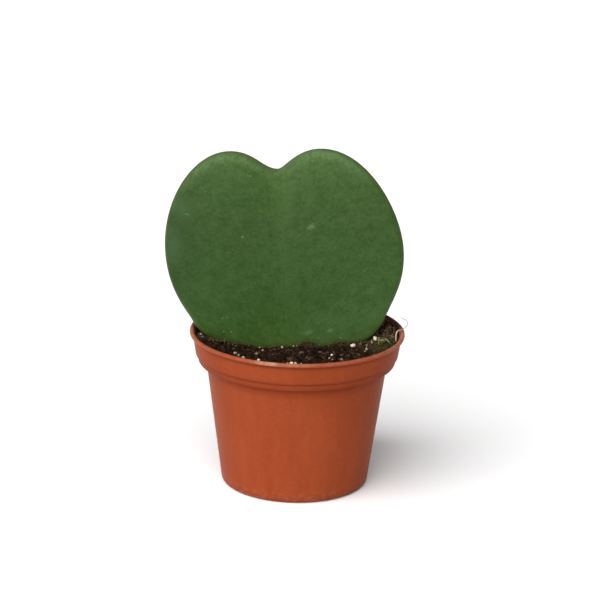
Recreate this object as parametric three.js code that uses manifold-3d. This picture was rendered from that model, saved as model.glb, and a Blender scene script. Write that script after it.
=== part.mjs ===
// A sweetheart hoya: one rooted heart-shaped leaf in a small moulded nursery pot.
// Millimetres, +Z up. Origin: centre of the pot's underside. The leaf faces -Y.
import * as THREE from 'three';
import { mergeVertices } from 'three/addons/utils/BufferGeometryUtils.js';
import Module from 'manifold-3d';

const wasm = await Module();
wasm.setup();

// Pot: outside radii and heights, from the foot up
const potHeight = 65.3;
const rimRadius = 44.6;
const lipRadius = 0.9;
const bandTopRadius = 43;
const bandFootRadius = 42.1;
const bandFootHeight = 55.9;
const ringRadius = 41.2;
const ringHeight = 55.3;
const stepRadius = 37.6;
const stepHeight = 52.3;
const footRadius = 28.9;
const bodyFootRadius = 30.7;
const bodyFootHeight = 2.3;
const wall = 0.9;
const floorTop = 2.5;
const recessDepth = 1.5;
const padRadius = 12;
const footRingInner = 26.8;
const drainHoles = 6;
const drainRadius = 3.2;
const drainCircle = 19.5;
const footGaps = 3;
const footGapWidth = 4;
const potSides = 64;

// Soil: mean surface height, its rise to the front and to both sides, the hollow before
// the leaf, lumps and grains
const fitGap = 0.3;
const soilLevel = 61.1;
const soilFrontRise = 0.02;
const soilSideRise = 2;
const soilSideStart = 8;
const soilHollow = 1.9;
const hollowPlace = [-15, -6];
const hollowReach = [13, 9];
const soilSides = 44;
const soilRings = 8;
const crumbCount = 34;
const perliteCount = 12;

// Leaf: half outlines in the leaf's own plane, up from the petiole
const leafBase = new THREE.Vector3(-3.4, -2.6, 48.8);
const leafLeanBack = THREE.MathUtils.degToRad(4);
const leafLeanLeft = THREE.MathUtils.degToRad(4);
const baseSlope = THREE.MathUtils.degToRad(8.5);
const notchHeight = 85;
const leftHalf = {
  shoulder: [38.5, 22.5],
  shoulderSlope: THREE.MathUtils.degToRad(71),
  widest: [48.2, 53],
  lobe: [20, 93.2],
  handles: [6.5, 10, 4, 18, 21.5, 14.5, 10.5, 6],
};
const rightHalf = {
  shoulder: [40.5, 19],
  shoulderSlope: THREE.MathUtils.degToRad(65),
  widest: [50, 48],
  lobe: [17, 92.5],
  handles: [16.5, 12, 10, 13.5, 17, 19.5, 9.5, 2.5],
};
const leafThickness = 3.8;
const leafEdgeThickness = 3;
const leafEdgeRound = 2.5;
const leafDome = 3;
const grooveDepth = 1;
const ribHeight = 0.6;
const leafCentre = 45;
const leafSpokes = 96;
const petioleRadius = 2.2;
const petioleLength = 8;

// Roots: a callus round the cut petiole, with roots that spread and go down
const callusRadius = 3.4;
const rootCount = 6;
const rootRadius = 0.6;
const strandRadius = 0.33;

// One dry root that leaves the soil by the wall, crosses the rim and curls up
const strandRoute = [
  [40, -3.4, 56.8], [40.1, -3.4, 60.3], [40.5, -3, 63.8], [41.4, -2, 66.2], [43.3, -1, 66.9],
  [45.3, 0, 67.9], [45.6, 1, 69.6], [44.5, 1.5, 70.9], [42.9, 2, 71.3],
];

// Seeded random numbers, so that every build is alike
let randomState = 20261;
function random() {
  randomState = (Math.imul(randomState, 1664525) + 1013904223) >>> 0;
  return randomState / 4294967296;
}

function between(low, high) {
  return low + (high - low) * random();
}

// A closed geometry as a solid that can be joined and cut
function toSolid(geometry) {
  const bare = geometry.clone();
  bare.deleteAttribute('normal');
  bare.deleteAttribute('uv');
  const merged = mergeVertices(bare, 1e-4);
  return new wasm.Manifold(new wasm.Mesh({
    numProp: 3,
    vertProperties: new Float32Array(merged.attributes.position.array),
    triVerts: new Uint32Array(merged.index.array),
  }));
}

function toGeometry(solid) {
  const { vertProperties, triVerts } = solid.getMesh();
  const geometry = new THREE.BufferGeometry();
  geometry.setAttribute('position', new THREE.BufferAttribute(vertProperties, 3));
  geometry.setIndex(new THREE.BufferAttribute(triVerts, 1));
  geometry.computeVertexNormals();
  return geometry;
}

// A profile of [radius, height] points turned about +Z
function turned(profile, sides) {
  const points = profile.map(([radius, height]) => new THREE.Vector2(radius, height));
  return new THREE.LatheGeometry(points, sides).rotateX(Math.PI / 2);
}

function tube(route, radius, sides, steps) {
  const section = new THREE.Shape();
  for (let side = 0; side < sides; side += 1) {
    const angle = (side / sides) * 2 * Math.PI;
    const corner = [radius * Math.cos(angle), radius * Math.sin(angle)];
    if (side === 0) section.moveTo(...corner);
    else section.lineTo(...corner);
  }
  const extrudePath = new THREE.CatmullRomCurve3(route);
  return new THREE.ExtrudeGeometry(section, { steps, extrudePath, bevelEnabled: false });
}

// The inside of the wall beside the soil's surface
function innerRadius(height) {
  const slope = (bandTopRadius - bandFootRadius) / (potHeight - bandFootHeight);
  return bandFootRadius - wall + slope * (height - bandFootHeight);
}

function arc(centreRadius, centreHeight, radius, fromDegrees, toDegrees, steps) {
  const points = [];
  for (let step = 0; step <= steps; step += 1) {
    const angle = THREE.MathUtils.degToRad(
      fromDegrees + ((toDegrees - fromDegrees) * step) / steps);
    points.push([
      centreRadius + radius * Math.cos(angle),
      centreHeight + radius * Math.sin(angle),
    ]);
  }
  return points;
}

// Outside of the pot from the foot to the lip, then down the inside to the floor
function potProfile() {
  const lip = [rimRadius - lipRadius, potHeight - lipRadius];
  const bandMiddle = (bandTopRadius + bandFootRadius) / 2 + 0.2;
  const bandMiddleHeight = (bandFootHeight + potHeight - 2.5) / 2;
  return [
    [0, 0],
    [padRadius, 0],
    [padRadius + recessDepth, recessDepth],
    [footRingInner - 0.5, recessDepth],
    [footRingInner, 0],
    [footRadius, 0],
    [footRadius + 1, 0.35],
    [bodyFootRadius - 0.25, 1],
    [bodyFootRadius, bodyFootHeight],
    [stepRadius, stepHeight],
    [ringRadius - 1, stepHeight + 0.1],
    [ringRadius - 0.4, stepHeight + 0.7],
    [ringRadius, ringHeight - 1],
    [ringRadius, ringHeight],
    [bandFootRadius - 0.3, ringHeight + 0.1],
    [bandFootRadius, bandFootHeight],
    [bandMiddle, bandMiddleHeight],
    [bandTopRadius, potHeight - 2.5],
    [bandTopRadius, potHeight - 2],
    ...arc(...lip, lipRadius, -70, 180, 6),
    [innerRadius(potHeight - 2), potHeight - 2],
    [innerRadius(bandFootHeight), bandFootHeight],
    [ringRadius - wall - 0.6, stepHeight + 1.4],
    [stepRadius - wall, stepHeight - 0.3],
    [bodyFootRadius - wall + 0.2, bodyFootHeight + 2],
    [footRadius, floorTop],
    [padRadius + recessDepth + 0.5, floorTop],
    [padRadius, floorTop - recessDepth],
    [0, floorTop - recessDepth],
  ];
}

function makePot() {
  let solid = toSolid(turned(potProfile(), potSides));
  for (let hole = 0; hole < drainHoles; hole += 1) {
    const angle = (hole / drainHoles) * 2 * Math.PI;
    const drill = new THREE.CylinderGeometry(drainRadius, drainRadius, 6, 20).rotateX(Math.PI / 2);
    drill.translate(drainCircle * Math.cos(angle), drainCircle * Math.sin(angle), floorTop);
    solid = solid.subtract(toSolid(drill));
  }
  // Water runs out under the back half of the foot ring
  for (let gap = 0; gap < footGaps; gap += 1) {
    const slot = new THREE.BoxGeometry(8, footGapWidth, 2);
    slot.translate(footRadius, 0, 0);
    slot.rotateZ(((gap + 0.5) / footGaps) * Math.PI);
    solid = solid.subtract(toSolid(slot));
  }
  return solid;
}

// Half outline: petiole, shoulder by the soil, widest point, top of the lobe, notch.
// The handles are the lengths of the curves' tangents, in that order.
function addHalf(path, half, side, upwards) {
  const [offBase, toShoulder, offShoulder, toWidest, offWidest, toLobe, offLobe, toNotch] = half.handles;
  const [shoulderAcross, shoulderUp] = half.shoulder;
  const [widestAcross, widestUp] = half.widest;
  const [lobeAcross, lobeUp] = half.lobe;
  const rise = [Math.cos(half.shoulderSlope), Math.sin(half.shoulderSlope)];
  const points = [
    [0, 0],
    [offBase * Math.cos(baseSlope), offBase * Math.sin(baseSlope)],
    [shoulderAcross - toShoulder * rise[0], shoulderUp - toShoulder * rise[1]],
    half.shoulder,
    [shoulderAcross + offShoulder * rise[0], shoulderUp + offShoulder * rise[1]],
    [widestAcross, widestUp - toWidest],
    half.widest,
    [widestAcross, widestUp + offWidest],
    [lobeAcross + toLobe, lobeUp],
    half.lobe,
    [lobeAcross - offLobe, lobeUp],
    [toNotch, notchHeight],
    [0, notchHeight],
  ].map(([across, up]) => [side * across, up]);
  if (!upwards) points.reverse();
  for (let start = 1; start < points.length; start += 3) {
    path.bezierCurveTo(...points[start], ...points[start + 1], ...points[start + 2]);
  }
}

function leafOutline() {
  const path = new THREE.Path();
  path.moveTo(0, 0);
  addHalf(path, rightHalf, 1, true);
  addHalf(path, leftHalf, -1, false);
  return path.getSpacedPoints(leafSpokes).slice(0, leafSpokes);
}

// How far the blade stands forward of its outline's plane
function leafForward(across, up, inward) {
  const nearNotch = THREE.MathUtils.smoothstep(up, 40, notchHeight);
  const groove = grooveDepth * nearNotch * Math.exp(-((across / 5) ** 2));
  return leafDome * (1 - (1 - inward) ** 2) - groove * inward;
}

// The blade as rings from the outline to the centre, on both faces.
// With grow above 0 it is the hole that the blade needs in the soil.
function leafBlade(grow) {
  const outline = leafOutline();
  const rings = [];
  const edgeSteps = 3;
  for (let step = 0; step <= edgeSteps; step += 1) {
    const angle = (step / edgeSteps) * (Math.PI / 2);
    rings.push({ inset: (leafEdgeRound + grow) * (1 - Math.cos(angle)), scale: 1, swell: Math.sin(angle) });
  }
  for (const scale of [0.8, 0.58, 0.34, 0.12]) {
    rings.push({ inset: leafEdgeRound + grow, scale, swell: 1 });
  }
  const positions = [];
  const middle = new THREE.Vector2(0, leafCentre);
  for (const face of [-1, 1]) {
    for (const { inset, scale, swell } of rings) {
      outline.forEach((point, index) => {
        const before = outline[(index + leafSpokes - 1) % leafSpokes];
        const after = outline[(index + 1) % leafSpokes];
        const inwards = new THREE.Vector2(before.y - after.y, after.x - before.x).normalize();
        const place = point.clone().addScaledVector(inwards, inset - grow);
        place.sub(middle).multiplyScalar(scale).add(middle);
        const reach = place.distanceTo(middle) / point.distanceTo(middle);
        const inward = THREE.MathUtils.clamp(1 - reach, 0, 1);
        const thickness = THREE.MathUtils.lerp(leafEdgeThickness, leafThickness, inward);
        const rib = face > 0 ? ribHeight * inward * Math.exp(-((place.x / 3) ** 2)) : 0;
        const half = swell * (thickness / 2 + grow + rib);
        positions.push(place.x, face * half - leafForward(place.x, place.y, inward), place.y);
      });
    }
    const hub = face * (leafThickness / 2 + grow + (face > 0 ? ribHeight : 0));
    positions.push(0, hub - leafForward(0, leafCentre, 1), leafCentre);
  }
  return closeBlade(positions, rings.length);
}

function closeBlade(positions, ringCount) {
  const faceSize = ringCount * leafSpokes + 1;
  const index = [];
  const addTriangle = (face, a, b, c) => {
    const shift = face * faceSize;
    if (face === 0) index.push(shift + a, shift + b, shift + c);
    else index.push(shift + a, shift + c, shift + b);
  };
  for (const face of [0, 1]) {
    for (let spoke = 0; spoke < leafSpokes; spoke += 1) {
      const next = (spoke + 1) % leafSpokes;
      for (let ring = 0; ring < ringCount - 1; ring += 1) {
        const outer = ring * leafSpokes;
        const inner = outer + leafSpokes;
        addTriangle(face, outer + spoke, outer + next, inner + next);
        addTriangle(face, outer + spoke, inner + next, inner + spoke);
      }
      const last = (ringCount - 1) * leafSpokes;
      addTriangle(face, last + spoke, last + next, ringCount * leafSpokes);
    }
  }
  const geometry = new THREE.BufferGeometry();
  geometry.setAttribute('position', new THREE.Float32BufferAttribute(positions, 3));
  geometry.setIndex(index);
  return geometry;
}

function petiole(grow) {
  const radius = petioleRadius + grow;
  const length = petioleLength + 3 + grow;
  const stalk = new THREE.CylinderGeometry(radius + 0.3, radius, length, 16).rotateX(Math.PI / 2);
  return stalk.translate(0, 0, 3 - length / 2);
}

// Moves a shape from the leaf's own plane to where the leaf stands
function poseLeaf(object) {
  object.position.copy(leafBase);
  object.rotation.set(-leafLeanBack, -leafLeanLeft, 0);
  object.updateMatrix();
  return object;
}

const leafPose = poseLeaf(new THREE.Object3D()).matrix;

function makeLeaf(grow) {
  return toSolid(leafBlade(grow)).add(toSolid(petiole(grow)));
}

function makeRoots(grow) {
  const callus = new THREE.SphereGeometry(callusRadius + grow, 12, 8);
  let solid = toSolid(callus.translate(0, 0, -petioleLength));
  for (let root = 0; root < rootCount; root += 1) {
    const angle = ((root + 0.3 * Math.sin(7 * root)) / rootCount) * 2 * Math.PI;
    const reach = 15 + 3 * Math.cos(5 * root);
    const route = [[0, -1], [0.35, -4], [0.7, -11], [0.95, -20], [1, -29]].map(([out, down]) => {
      const bend = angle + 0.5 * out;
      const away = 1.5 + reach * out;
      return new THREE.Vector3(away * Math.cos(bend), away * Math.sin(bend), down - petioleLength);
    });
    solid = solid.add(toSolid(tube(route, rootRadius + grow, 6, 7)));
  }
  return solid;
}

function strandTube(grow) {
  const route = strandRoute.map((point) => new THREE.Vector3(...point));
  return tube(route, strandRadius + grow, 8, 20);
}

function soilHeight(x, y) {
  const lumps = 0.35 * Math.sin(0.42 * x + 1.3) * Math.cos(0.36 * y - 0.4)
    + 0.25 * Math.sin(0.75 * x - 0.6 * y);
  const sides = soilSideRise * THREE.MathUtils.smoothstep(Math.abs(x), soilSideStart, rimRadius);
  const acrossHollow = (x - hollowPlace[0]) / hollowReach[0];
  const alongHollow = (y - hollowPlace[1]) / hollowReach[1];
  const hollow = soilHollow * Math.exp(-(acrossHollow ** 2) - alongHollow ** 2);
  return soilLevel - soilFrontRise * y + sides - hollow + lumps;
}

// The plug of soil, a gap inside the pot, with its top moved to soilHeight
function soilPlug() {
  const profile = [
    [0, floorTop - recessDepth + fitGap],
    [padRadius - fitGap, floorTop - recessDepth + fitGap],
    [padRadius + recessDepth, floorTop + fitGap],
    [footRadius - fitGap, floorTop + fitGap],
    [bodyFootRadius - wall - fitGap, bodyFootHeight + 2],
    [stepRadius - wall - fitGap, stepHeight],
    [ringRadius - wall - 0.6 - fitGap, stepHeight + 1.7],
    [innerRadius(bandFootHeight) - fitGap, bandFootHeight + 0.3],
  ];
  for (let ring = 0; ring <= soilRings; ring += 1) {
    profile.push([(innerRadius(soilLevel) - fitGap) * (1 - ring / soilRings), soilLevel]);
  }
  const plug = turned(profile, soilSides);
  const places = plug.attributes.position;
  const wallSlope = innerRadius(soilLevel + 1) - innerRadius(soilLevel);
  for (let index = 0; index < places.count; index += 1) {
    if (places.getZ(index) < soilLevel - 0.01) continue;
    const x = places.getX(index);
    const y = places.getY(index);
    const height = soilHeight(x, y);
    const widen = 1 + ((height - soilLevel) * wallSlope) / innerRadius(soilLevel);
    places.setXYZ(index, x * widen, y * widen, height);
  }
  return plug;
}

// A lump pressed half into the surface, clear of the leaf, the wall and the dry root
function addLumps(solid, count, smallest, largest, flatness) {
  const leafClear = 6 + largest;
  let placed = 0;
  let result = solid;
  while (placed < count) {
    const away = (innerRadius(soilLevel) - 1.5 - largest) * Math.sqrt(random());
    const angle = between(0, 2 * Math.PI);
    const x = away * Math.cos(angle);
    const y = away * Math.sin(angle);
    const size = between(smallest, largest);
    const nearLeaf = Math.abs(y - leafBase.y) < leafClear;
    const nearStrand = Math.hypot(x - strandRoute[0][0], y - strandRoute[0][1]) < 2.5 + largest;
    if (nearLeaf || nearStrand) continue;
    const lump = new THREE.IcosahedronGeometry(size, 0);
    lump.scale(1, between(0.7, 1), flatness);
    lump.rotateX(between(-0.5, 0.5)).rotateZ(between(0, Math.PI));
    lump.translate(x, y, soilHeight(x, y) + 0.2 * size);
    result = result.add(toSolid(lump));
    placed += 1;
  }
  return result;
}

function makeSoil() {
  let solid = toSolid(soilPlug());
  solid = addLumps(solid, crumbCount, 1.2, 2.6, 0.6);
  solid = addLumps(solid, perliteCount, 0.8, 1.3, 0.9);
  solid = solid.subtract(makeLeaf(fitGap).transform(leafPose.elements));
  solid = solid.subtract(makeRoots(fitGap).transform(leafPose.elements));
  return solid.subtract(toSolid(strandTube(fitGap)));
}

const potPlastic = new THREE.MeshStandardMaterial({ color: 0xaf5031, roughness: 0.5, metalness: 0 });
const peat = new THREE.MeshStandardMaterial({ color: 0x34241a, roughness: 1, metalness: 0 });
const leafSkin = new THREE.MeshStandardMaterial({ color: 0x42602f, roughness: 0.55, metalness: 0 });
const rootSkin = new THREE.MeshStandardMaterial({ color: 0xd8cbb2, roughness: 0.8, metalness: 0 });
const drySkin = new THREE.MeshStandardMaterial({ color: 0xe6ddcc, roughness: 0.8, metalness: 0 });

const group = new THREE.Group();

function addPiece(name, geometry, material) {
  const mesh = new THREE.Mesh(geometry, material);
  mesh.name = name;
  group.add(mesh);
  return mesh;
}

addPiece('pot', toGeometry(makePot()), potPlastic);
addPiece('soil', toGeometry(makeSoil()), peat);
poseLeaf(addPiece('leaf', toGeometry(makeLeaf(0)), leafSkin));
poseLeaf(addPiece('roots', toGeometry(makeRoots(0).subtract(toSolid(petiole(fitGap)))), rootSkin));
addPiece('root_strand', strandTube(0), drySkin);

export default group;
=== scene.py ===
import math
import random
from functools import partial
import bpy
import bmesh
import numpy as np
from mathutils import Matrix, Vector, noise


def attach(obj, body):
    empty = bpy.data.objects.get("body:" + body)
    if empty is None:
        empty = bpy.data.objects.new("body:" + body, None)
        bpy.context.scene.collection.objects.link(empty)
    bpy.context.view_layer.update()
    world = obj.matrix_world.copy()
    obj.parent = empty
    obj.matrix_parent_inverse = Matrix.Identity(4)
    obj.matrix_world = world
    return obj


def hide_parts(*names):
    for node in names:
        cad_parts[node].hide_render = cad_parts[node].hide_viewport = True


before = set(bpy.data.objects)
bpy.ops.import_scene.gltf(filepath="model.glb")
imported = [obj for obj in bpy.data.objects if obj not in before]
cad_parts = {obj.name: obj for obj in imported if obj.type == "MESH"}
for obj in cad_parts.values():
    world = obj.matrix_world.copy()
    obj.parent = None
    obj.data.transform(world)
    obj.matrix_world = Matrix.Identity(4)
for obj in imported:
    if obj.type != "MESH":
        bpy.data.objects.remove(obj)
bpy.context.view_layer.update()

# A sweetheart hoya leaf, rooted in a small plastic nursery pot.
# The forms are worked out in millimetres and written to the meshes in metres.

mm = 0.001


def linear(hexColour):
    # sRGB hex to the linear values that shaders take
    parts = [int(hexColour[i:i + 2], 16) / 255 for i in (1, 3, 5)]
    return [p / 12.92 if p <= 0.04045 else ((p + 0.055) / 1.055) ** 2.4 for p in parts] + [1.0]


def perMetre(sizeMm):
    # texture scale whose pattern repeats about every sizeMm
    return 1000.0 / sizeMm


def newObject(name, data):
    thing = bpy.data.objects.new(name, data)
    bpy.context.scene.collection.objects.link(thing)
    return thing


def newMaterial(name):
    # an empty material, and addNode with that material filled in
    material = bpy.data.materials.new(name)
    material.use_nodes = True
    material.node_tree.nodes.clear()
    return material, partial(addNode, material)


def addNode(material, kind, inputs=(), operation=None, stops=None, out=0, **settings):
    # inputs, by place or by name, hold a socket to link, a colour as hex or a plain value;
    # gives the socket that the next node takes
    node = material.node_tree.nodes.new("ShaderNode" + kind)
    if operation:
        node.operation = operation
    for key, value in settings.items():
        setattr(node, key, value)
    for key, value in inputs.items() if isinstance(inputs, dict) else enumerate(inputs):
        socket = node.inputs[key]
        if isinstance(value, bpy.types.NodeSocket):
            material.node_tree.links.new(value, socket)
        elif isinstance(value, str):
            socket.default_value = linear(value)
        else:
            socket.default_value = value
    if stops:
        ramp = node.color_ramp
        while len(ramp.elements) < len(stops):
            ramp.elements.new(0.5)
        for element, (place, colour) in zip(ramp.elements, stops):
            element.position = place
            element.color = linear(colour)
    return node.outputs[out] if node.outputs else None


def addValues(piece, name, values):
    # one number per point, read by the material
    layer = piece.data.attributes.new(name, "FLOAT", "POINT")
    layer.data.foreach_set("value", np.asarray(values, dtype=np.float32))


def grainyMaterial(name, size, detail, roughness, weight, gain, stops):
    # colour from the fine grain of the stuff, size in mm, and the tone of each bit of it
    m, add = newMaterial(name)
    spot = add("TexCoord", out="Object")
    tone = add("Attribute", attribute_name="tone", out="Fac")
    grain = add("TexNoise", {
        "Vector": spot, "Scale": perMetre(size), "Detail": detail, "Roughness": roughness})
    mixed = add("Math", (grain, weight, tone), "MULTIPLY_ADD")
    mixed = add("Math", (mixed, gain), "MULTIPLY")
    return m, add, spot, grain, add("ValToRGB", (mixed,), stops=stops)


def newPiece(name, verts, faces, material, slot, replaced=None, **values):
    mesh = bpy.data.meshes.new(name)
    mesh.from_pydata([tuple(v) for v in np.asarray(verts) * mm], [], [tuple(f) for f in faces])
    mesh.validate()
    mesh.update()
    piece = newObject(name, mesh)
    mesh.materials.append(material)
    mesh.shade_smooth()
    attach(piece, "root")
    if replaced:
        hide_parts(replaced)
    for key, numbers in values.items():
        addValues(piece, key, numbers)
    return piece


def newCluster(name, shapes, material, slot, replaced=None, pose=np.asarray):
    # one piece from many shapes, each of them verts, faces and a tone
    verts = pose(np.vstack([shape[0] for shape in shapes]))
    faces = []
    tones = []
    for points, sides, tone in shapes:
        faces += [[index + len(tones) for index in side] for side in sides]
        tones += [tone] * len(points)
    newPiece(name, verts, faces, material, slot, replaced, tone=tones)


def onCircle(radius, angle):
    return radius * math.cos(angle), radius * math.sin(angle)


def ringPoints(radius, height, count):
    return [(*onCircle(radius, 2 * math.pi * k / count), height) for k in range(count)]


def gridFaces(rings, spokes, start=0, flip=False):
    # quads between closed rings of equal length
    faces = []
    for ring in range(rings - 1):
        for spoke in range(spokes):
            nextSpoke = (spoke + 1) % spokes
            low = start + ring * spokes
            high = low + spokes
            quad = (low + spoke, low + nextSpoke, high + nextSpoke, high + spoke)
            faces.append(quad[::-1] if flip else quad)
    return faces


def capFaces(spokes, ringStart, hub, flip=False):
    faces = []
    for spoke in range(spokes):
        triangle = (ringStart + spoke, ringStart + (spoke + 1) % spokes, hub)
        faces.append(triangle[::-1] if flip else triangle)
    return faces


def tubeShape(route, radii, sides):
    # a closed tube with its own radius at each point of the route
    points = [Vector(p) for p in route]
    verts = []
    side = None
    for index, point in enumerate(points):
        ahead = points[min(index + 1, len(points) - 1)] - points[max(index - 1, 0)]
        ahead.normalize()
        if side is None:
            side = ahead.orthogonal().normalized()
        side = (side - ahead * side.dot(ahead)).normalized()
        other = ahead.cross(side)
        for step in range(sides):
            angle = 2 * math.pi * step / sides
            verts.append(point + radii[index] * (math.cos(angle) * side + math.sin(angle) * other))
    faces = gridFaces(len(points), sides)
    for end, flip in ((0, True), (len(points) - 1, False)):
        verts.append(points[end])
        faces += capFaces(sides, end * sides, len(verts) - 1, flip)
    return np.array(verts), faces


def smoothRoute(points, steps):
    # a Catmull-Rom curve through the points, steps to each stretch
    knots = [np.array(p, dtype=float) for p in points]
    knots = [2 * knots[0] - knots[1]] + knots + [2 * knots[-1] - knots[-2]]
    route = []
    for k in range(1, len(knots) - 2):
        before, here, after, later = knots[k - 1:k + 3]
        for step in range(steps):
            t = step / steps
            route.append(0.5 * (2 * here + (after - before) * t
                                + (2 * before - 5 * here + 4 * after - later) * t ** 2
                                + (3 * here - before - 3 * after + later) * t ** 3))
    route.append(knots[-2])
    return route


def fractal(x, y, z, octaves=3, gain=0.5):
    total = 0.0
    strength = 1.0
    for octave in range(octaves):
        total += strength * noise.noise(Vector((x, y, z)) * 2 ** octave)
        strength *= gain
    return total


def lumpShapes(seed, variants, roundness, roughness, grain):
    # irregular closed lumps of radius about 1, to be placed many times
    draw = random.Random(seed)
    ball = bmesh.new()
    bmesh.ops.create_icosphere(ball, subdivisions=roundness, radius=1)
    points = [v.co.copy() for v in ball.verts]
    faces = [[v.index for v in f.verts] for f in ball.faces]
    ball.free()
    shapes = []
    for variant in range(variants):
        offset = Vector([draw.uniform(-50, 50) for axis in range(3)])
        verts = [p * (1 + roughness * noise.noise(p * grain + offset)
                      + 0.4 * roughness * noise.noise(p * grain * 2.3 + offset)) for p in points]
        shapes.append((np.array(verts), faces))
    return shapes


def placed(shape, size, place, turn):
    # size is a radius per axis before the turn
    verts, faces = shape
    matrix = np.array(turn.to_matrix())
    return (verts * np.array(size)) @ matrix.T + np.array(place), faces


studio = {
    # mm and degrees
    "target": (0.82, 0, 78.3),
    "distance": 1200,
    "elevation": 17.6,
    "roll": 1.27,
    "lens": 174.3,
    "floorSize": 16.0,            # metres
    "floorDrop": 0.05,            # keeps it clear of the foot ring
    "floorColour": "#fdfdfd",
    "worldColour": "#ffffff",
    "worldStrength": 0.23,
    "keyStrength": 4.76,
    "keyFrom": (-0.51, -0.85, 0.83),
    "keySoftness": 80,            # degrees the light seems wide
}


def makeCamera():
    data = bpy.data.cameras.new("camera")
    data.lens = studio["lens"]
    camera = newObject("camera", data)
    tilt = math.radians(studio["elevation"])
    back = Vector((0, -math.cos(tilt), math.sin(tilt)))
    turn = Matrix.Rotation(math.radians(studio["roll"]), 3, back)
    right = turn @ Vector((1, 0, 0))
    up = back.cross(right)
    pose = Matrix((right, up, back)).transposed().to_4x4()
    pose.translation = (Vector(studio["target"]) + back * studio["distance"]) * mm
    camera.matrix_world = pose
    bpy.context.scene.camera = camera


def addSun(name, fromWhere, strength, softness):
    data = bpy.data.lights.new(name, "SUN")
    data.energy = strength
    data.angle = math.radians(softness)
    newObject(name, data).rotation_euler = Vector(fromWhere).to_track_quat("Z", "Y").to_euler()


def makeStudio():
    half = studio["floorSize"] / 2
    drop = -studio["floorDrop"] * mm
    mesh = bpy.data.meshes.new("floor")
    corners = [(x * half, y * half, drop) for x, y in ((-1, -1), (1, -1), (1, 1), (-1, 1))]
    mesh.from_pydata(corners, [], [(0, 1, 2, 3)])
    paper, add = newMaterial("seamless paper, matt white")
    skin = add("BsdfPrincipled", {
        "Base Color": studio["floorColour"], "Roughness": 0.9, "Specular IOR Level": 0.2})
    add("OutputMaterial", (skin,))
    mesh.materials.append(paper)
    newObject("floor", mesh)
    world = bpy.data.worlds.new("studio")
    world.use_nodes = True
    sky = world.node_tree.nodes["Background"]
    sky.inputs["Color"].default_value = linear(studio["worldColour"])
    sky.inputs["Strength"].default_value = studio["worldStrength"]
    bpy.context.scene.world = world
    addSun("key light", studio["keyFrom"], studio["keyStrength"], studio["keySoftness"])
    bpy.context.scene.view_settings.view_transform = "Standard"


makeCamera()
makeStudio()
print("camera, floor and light ready")


pot = {
    # radii and heights in mm
    "height": 65.3,
    "lipOuter": 44.57,
    "lipRound": 0.9,
    "lipDepth": 2.0,
    "bandTop": 43.0,
    "bandFoot": 42.1,
    "bandFootHeight": 55.9,
    "ring": 41.2,
    "ringHeight": 55.3,
    "step": 37.6,
    "stepHeight": 52.3,
    "foot": 28.9,
    "bodyFoot": 30.7,
    "bodyFootHeight": 2.3,
    "wall": 0.9,
    "floorTop": 2.5,
    "recess": 1.5,
    "pad": 12,
    "footRingInner": 26.8,
    "drainHoles": 6,
    "drainRadius": 3.2,
    "drainDepth": 6,
    "drainCircle": 19.5,
    "footGaps": 3,
    "footGap": (8, 4, 2),         # length, width and height
    "sharpFrom": 35,              # degrees
    "sides": 224,
    "ringSpacing": 3.0,
    "colours": [(0.38, "#82381b"), (0.62, "#8a3d20")],
    # pale dust, also used for the painted highlight along the lip
    "dustAndSheen": "#b68f7b",
    # soil splashed on the inside wall, also used as painted shade at the back of the wall and lip
    "soilAndShade": "#23100b",
    "footDust": (0, 6),           # height over which the dust on the foot fades
    "lipDustAndLightFrom": (63.7, 64.5),    # height where the lip turns dusty, and where its painted highlight and painted shade begin
    "splashedTo": (61, 65.2),     # height where the soil on the inside wall thins out
    "splashShadeBehind": (-3, 6),    # how far back the splashes thicken, as painted shade
    "lipShadeBehind": (0, 9),        # and where the back of the lip darkens, as painted shade
    "lipSpan": (-45, 45),
    # dust and a painted highlight on the lip from left to right over its span, black for none;
    # brightest a little left of the front and at both ends
    "lipDustAndSheen": [
        (0.0, "#d6d6d6"), (0.05, "#808080"), (0.2, "#606060"), (0.31, "#808080"), (0.35, "#ffffff"),
        (0.38, "#ffffff"), (0.43, "#a8a8a8"), (0.54, "#a0a0a0"), (0.6, "#747474"), (0.8, "#808080"),
        (0.9, "#9c9c9c"), (1.0, "#e0e0e0")],
    # height in mm and the painted shade in the creases there: under the lip, between band and ring,
    # under the step and at the foot
    "creaseShade": [
        (0.0, "#cdbdb2"), (1.3, "#eee6e0"), (4.0, "#ffffff"), (47.5, "#ffffff"), (50.0, "#f2ece8"),
        (51.6, "#e2d6cf"), (52.3, "#cdbdb4"), (53.1, "#e6dad4"), (54.4, "#f8f4f2"),
        (55.2, "#dccfc7"), (55.6, "#dccfc7"), (56.6, "#fbf8f6"), (62.0, "#ffffff"),
        (63.1, "#dccdc4"), (63.6, "#e0d2ca"), (64.0, "#ffffff")],
}


def innerRadius(height):
    slope = (pot["bandTop"] - pot["bandFoot"]) / (pot["height"] - pot["bandFootHeight"])
    return pot["bandFoot"] - pot["wall"] + slope * (height - pot["bandFootHeight"])


def filleted(corners, steps):
    # each corner is radius, height and how far the rounding reaches along both sides
    points = []
    for index, (r, z, reach) in enumerate(corners):
        here = Vector((r, z))
        if reach == 0:
            points.append(here)
            continue
        before = (Vector(corners[index - 1][:2]) - here).normalized()
        after = (Vector(corners[index + 1][:2]) - here).normalized()
        for step in range(steps + 1):
            t = step / steps
            points.append(here + before * reach * (1 - t) ** 2 + after * reach * t ** 2)
    return points


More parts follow.
